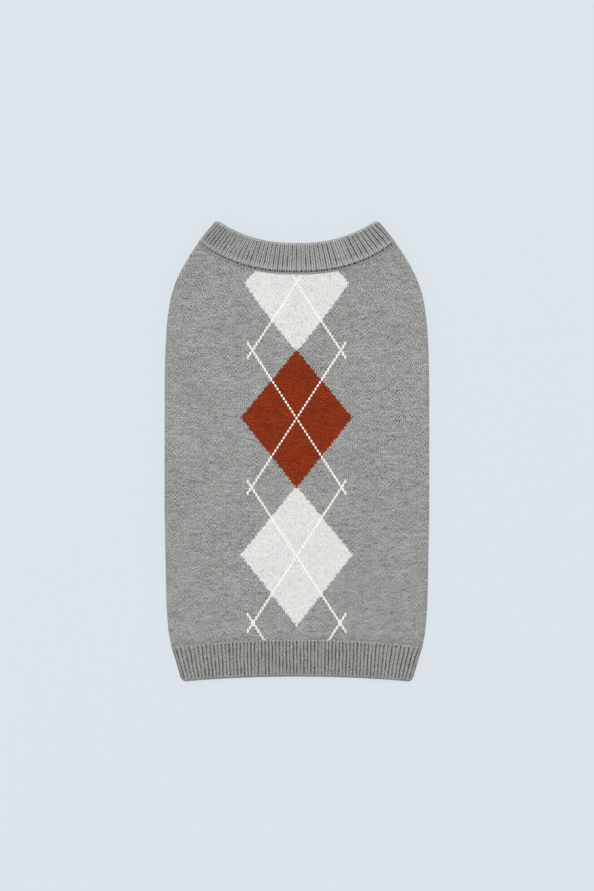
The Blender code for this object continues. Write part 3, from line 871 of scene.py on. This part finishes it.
# heavy painted shade between the pads and in the grooves of the ribs
neck_knit = knit_material("neck_knit", marl(NECK_MARL, NECK_LIGHT), pad_shade=0.72, sunk_shade=0.80)
neckband = ribbed_band("neckband_rib", NECKBAND, neck_relief, neck_knit, False)
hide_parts("neckband")
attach(neckband, "root")


# ---- Neck linking ------------------------------
# The doubled band is linked to both panels all round the neckline with the sweater's own yarn. A chain runs
# along the trough below the band, and the band's loops are drawn down to it on the jersey's edge.
CHAIN_BELOW_SEAM = 0.0010
CHAIN_RISE = 0.0002  # how far it stands above the jersey's face
CHAIN_PLACES = 1200  # places where its route is traced
LOOP_PAD = np.array([0.0008, 0.00050, 0.0005])  # half sizes of a drawn loop's side
LOOP_ABOVE_SEAM = 0.0007
LOOP_SINK = 0.0006  # how deep in the band its middle lies
LOOP_JITTER = 0.17  # how far off its even place it may be, in ribs

full = 2 * (NECKBAND["ribs"] + NECKBAND["fold_ribs"])


def neck_route(place, above, rise):
    """Places round the neck seam, above it along the sweater and raised from the jersey's face, or sunk into
    it on the underside, which lies on the table."""
    across, layer = band_stations(NECKBAND, place)
    ring, inside = band_ring(NECKBAND, rib_shares(NECKBAND, across)[0], layer, NECK_SEAM)
    outwards = (ring - inside) / NECK_CLOTH
    on_top = (1 + np.sin(layer)) / 2
    lift = (rise - NECK_STEP) * on_top - LINK_HEIGHT * (1 - on_top)
    shift = np.stack([0 * place, 0 * place + above, 0 * place], -1)
    return ring + outwards * lift[:, None] + shift, outwards


chain_places = np.linspace(0, full, CHAIN_PLACES, endpoint=False)
route, outwards = neck_route(chain_places, -CHAIN_BELOW_SEAM, CHAIN_RISE)
jitter = np.random.default_rng(3).uniform(-LOOP_JITTER, LOOP_JITTER, 2 * full)
loops, loops_up = neck_route(np.arange(2 * full) / 2 + 0.25 + jitter, LOOP_ABOVE_SEAM, NECK_STEP - LOOP_SINK)
loops_along = squared(np.zeros_like(loops) + (0, 1, 0), loops_up)
drawn_loops = pads(loops, loops_along, np.cross(loops_up, loops_along), loops_up, LOOP_PAD)
neck_chain = linked_chain("neck_linking", [(route, outwards)], True, [drawn_loops])
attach(neck_chain, "root")


# ---- Hem rib -----------------------------------
# Single rib knitted on below the jersey all round, one wale to a rib. It pulls in towards its free edge, so
# the ribs fan out, and it ends in a thin welt after a fine line where the ribs close.
HEM_EDGE = {"half": 0.0922, "middle": -0.1804, "corner": -0.1844, "power": 2.0}
HEM_GROOVE = 0.0012
HEM_RIB = {
    "seam": HEM_SEAM, "edge": HEM_EDGE, "scoop": 0.0,
    "radius": HEM_FOLD, "cloth": HEM_CLOTH, "groove": HEM_GROOVE,
    "ribs": 64, "fold_ribs": 4, "points": 8, "rows": 60,
    "bulge": 0.0, "rounding": 0.0031, "wander": 0.14,
    "trough": {"start": 0.0, "end": 0.0003, "deep": 0.0001},
    "fan": {"drift": 0.0, "crowd": 0.0, "power": 4.0},
    "uneven": {"seed": 8, "changes": 6, "share": 0.50, "corners": 0.0},
}
WELT = 0.0010  # from the free edge to the fine line above the welt
HEM_LOOP = 0.0006  # how far the loops where the rib starts stand up
# the jersey's yarn, a little lighter to make up for the painted shade in the ribs
RIB_LIGHT = (0.334, 0.331, 0.313)
RIB_MARL = 0.34


def hem_relief(within, from_seam, from_edge, strength):
    """Rounded ribs whose grooves start just below the jersey and close above the welt, and a fine scalloped
    line along the welt."""
    crest, start, opening, end, closing = 0.42, 0.0004, 0.0012, 0.0006, 0.0010
    line_depth, line_width, scallops, loop_width = 0.5, 0.0003, 0.0002, 0.0006
    groove = (1 - np.sin(np.pi * within) ** crest) * strength
    opens = eased((from_seam - start) / opening) * eased((from_edge - WELT - end) / closing)
    scallop = WELT - scallops * np.cos(2 * np.pi * within)
    fine_line = np.exp(-(((from_edge - scallop) / line_width) ** 2))
    loop = HEM_LOOP * (1 - groove) * np.exp(-(((from_seam - start) / loop_width) ** 2))
    return HEM_GROOVE * np.maximum(groove * opens, line_depth * fine_line) - loop


# painted shade between the pads and in the grooves of the ribs
rib_knit = knit_material("rib_knit", marl(RIB_MARL, RIB_LIGHT), pad_shade=0.42, sunk_shade=0.78)
hem = ribbed_band("hem_rib_knit", HEM_RIB, hem_relief, rib_knit, True)
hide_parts("hem_rib")
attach(hem, "root")


# ---- Leg bands ---------------------------------
# A narrow ribbed band, doubled as the neckband is, finishes each leg hole. It lies just inside the hole, and
# is linked to the belly panel round the hole's edge with the same chain.
LEG_CLOTH = 0.0020  # thickness
LEG_BAND = 0.0090  # width
LEG_RIBS, LEG_POINTS, LEG_ROWS = 92, 6, 14  # ribs, points to a rib, and rows across the band
LEG_GROOVE, LEG_CREST = 0.0006, 0.8  # depth of the grooves, and the power of the ribs' crests
LEG_CLOSING = 0.0015  # how near the free edge the grooves close
LEG_TURNS = np.linspace(0, 2 * np.pi, 240, endpoint=False)  # where the linking is traced

for side, word in ((-1, "left"), (1, "right")):
    place = (np.arange(LEG_RIBS * LEG_POINTS) / LEG_POINTS)[:, None]
    turn = 2 * np.pi * place / LEG_RIBS
    lip = LEG_CLOTH / 2
    bend = np.linspace(-np.pi / 2, np.pi / 2, LIP_STEPS)
    out = np.linspace(0, LEG_BAND - lip, LEG_ROWS)[:-1]
    inwards = np.concatenate([out, LEG_BAND - lip + lip * np.cos(bend), [0.0]])[None, :]
    heights = np.concatenate([0 * out, lip + lip * np.sin(bend), [LEG_CLOTH]])[None, :]
    groove = 1 - np.sin(np.pi * (place % 1)) ** LEG_CREST
    groove = groove * eased((LEG_BAND - inwards) / LEG_CLOSING)
    rounded = edge_drop(inwards, PANEL_EDGE) * (heights < lip)
    sunk = LEG_GROOVE * groove * (heights < lip) + rounded
    out_x, out_y = LEG_HOLE["half_width"] - SEAM_GAP, LEG_HOLE["half_height"] - SEAM_GAP
    x = side * LEG_HOLE["x"] + np.cos(turn) * (out_x - inwards)
    y = LEG_HOLE["y"] + np.sin(turn) * (out_y - inwards)
    points = np.stack([x, y, heights + sunk + 0 * x], -1)[:, ::-1]
    u = np.concatenate([place, place[:1] + LEG_RIBS]) + 0 * inwards
    v = inwards / RIB_COURSE + 0 * u
    # the mark for painted shade in the grooves
    mark = np.clip(sunk / LEG_GROOVE, 0, 1)[:, ::-1]
    band = wall_mesh(f"leg_band_{word}_rib", points, u[:, ::-1], v[:, ::-1], mark, rib_knit)
    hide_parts(f"leg_band_{word}")
    x = side * LEG_HOLE["x"] + np.cos(LEG_TURNS) * LEG_HOLE["half_width"]
    y = LEG_HOLE["y"] + np.sin(LEG_TURNS) * LEG_HOLE["half_height"]
    route = np.stack([x, y, 0 * x + LINK_HEIGHT], -1)
    chain = linked_chain(f"leg_linking_{word}", [(route, np.zeros_like(route) + DOWN)], True)
    for piece in (band, chain):
        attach(piece, "root")


# ---- Table, light and camera -------------------
# The sweater lies on a plain, evenly bright surface, under soft light from all round and from a large lamp.
# The camera looks straight down.
TABLE = {
    "Base Color": (0.050, 0.052, 0.054, 1),
    "Roughness": 0.9,
    "Specular IOR Level": 0.1,
    "Emission Color": (0.657, 0.707, 0.751, 1),
    "Emission Strength": 1.0,
}
TABLE_SIZE = 6.0
ROOM = {"Color": (0.97, 0.985, 1.0, 1), "Strength": 1.015}
LAMP_SIZE, LAMP_ENERGY = 1.4, 8.65
LAMP_PLACE, LAMP_TURN = (-0.45, 0.8, 1.5), (-0.49, -0.294, 0)
CAMERA_HEIGHT = 1.6
VIEW_HEIGHT = 0.7128  # length that the picture's height takes in
VIEW_MIDDLE = (0.00006, 0.00452)
CLOTH_HEIGHT = 0.004  # the height at which that scale holds

table_material, _ = new_material("pale_table", TABLE)
square = TABLE_SIZE / 2 * np.array([(-1, -1, 0), (1, -1, 0), (1, 1, 0), (-1, 1, 0)])
table = add_mesh("table", square, [np.array([[0, 1, 2, 3]])], table_material)

world = bpy.data.worlds.new("soft_room")
world.use_nodes = True
for word, setting in ROOM.items():
    world.node_tree.nodes["Background"].inputs[word].default_value = setting
bpy.context.scene.world = world

lamp = bpy.data.lights.new("overhead_soft_light", "AREA")
lamp.shape = "SQUARE"
lamp.size = LAMP_SIZE
lamp.energy = LAMP_ENERGY
lamp_object = bpy.data.objects.new("overhead_soft_light", lamp)
lamp_object.location = LAMP_PLACE
lamp_object.rotation_euler = LAMP_TURN
bpy.context.scene.collection.objects.link(lamp_object)

camera = bpy.data.cameras.new("camera_above")
camera.sensor_width = 36.0
camera.lens = camera.sensor_width * (CAMERA_HEIGHT - CLOTH_HEIGHT) / VIEW_HEIGHT
camera_object = bpy.data.objects.new("camera_above", camera)
camera_object.location = (*VIEW_MIDDLE, CAMERA_HEIGHT)
bpy.context.scene.collection.objects.link(camera_object)
bpy.context.scene.camera = camera_object
bpy.context.scene.view_settings.view_transform = "Standard"
